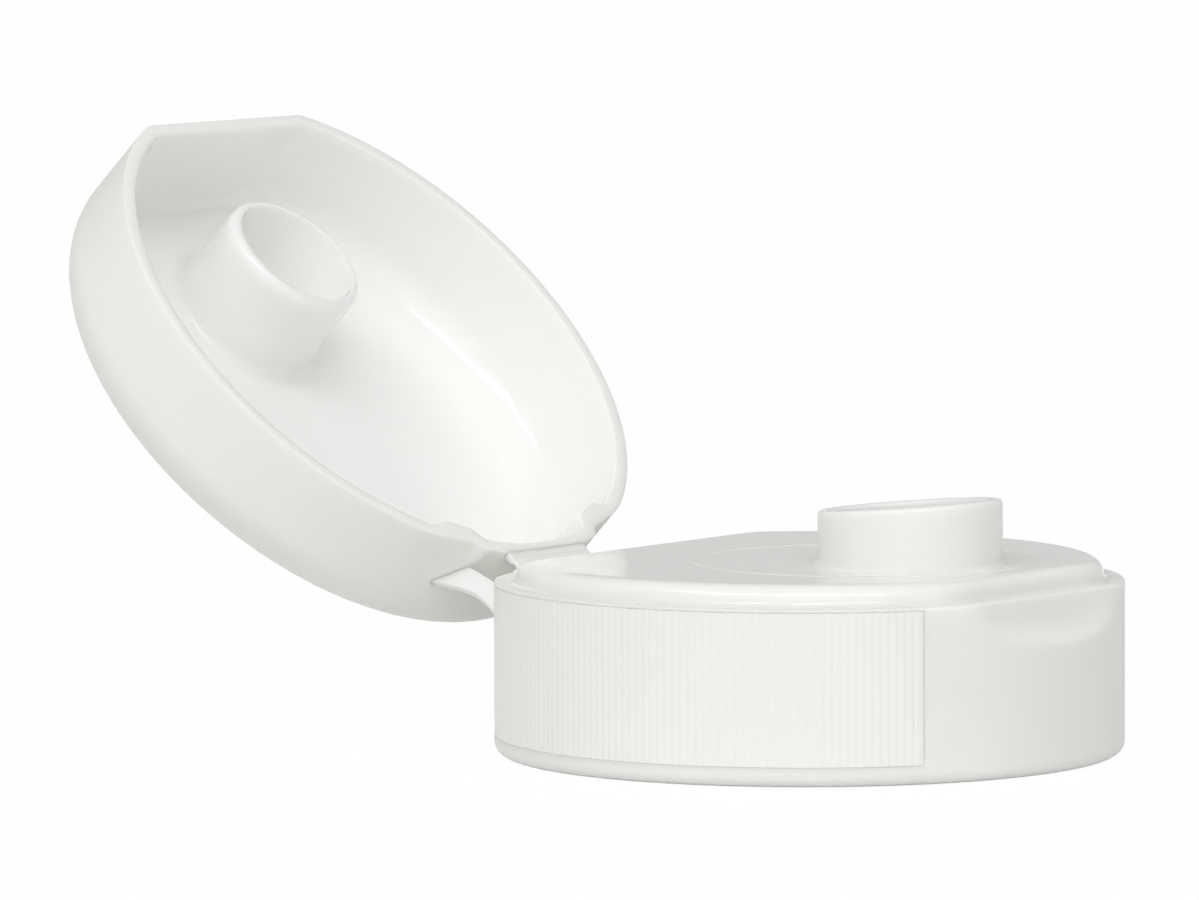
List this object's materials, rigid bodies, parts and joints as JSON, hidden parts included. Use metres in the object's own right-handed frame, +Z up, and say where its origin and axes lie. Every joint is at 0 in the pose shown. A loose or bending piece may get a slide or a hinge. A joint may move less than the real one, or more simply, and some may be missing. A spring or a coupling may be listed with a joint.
{
  "type": "snap top dispensing cap",
  "caption": "White snap top dispensing cap with a ribbed screw skirt, a raised deck with a round spout and a domed lid thrown open on its living hinge.",
  "frame": {"origin": "centre of the skirt's lower edge, on the axis of the bottle neck", "axes": "+Z up along the bottle neck's axis, -Y towards the thumb scoop at the front, +Y towards the hinge and the open lid"},
  "size_m": [0.041, 0.075, 0.0398],
  "materials": {
    "white_polypropylene": "moulded white polypropylene, satin outside and smoother on the deck"
  },
  "bodies": {
    "closure": {"closure_base": "white_polypropylene", "hinge_panel_left": "white_polypropylene", "hinge_panel_right": "white_polypropylene"},
    "lid": {"lid": "white_polypropylene"}
  },
  "joints": [
    {"name": "lid_hinge", "type": "hinge", "parent": "closure", "child": "lid", "pos_m": [0, 0.0208, 0.01156], "axis": [1, 0, 0], "range_deg": [-45.7, 134.3], "deforming": ["hinge_panel_left", "hinge_panel_right"]}
  ]
}
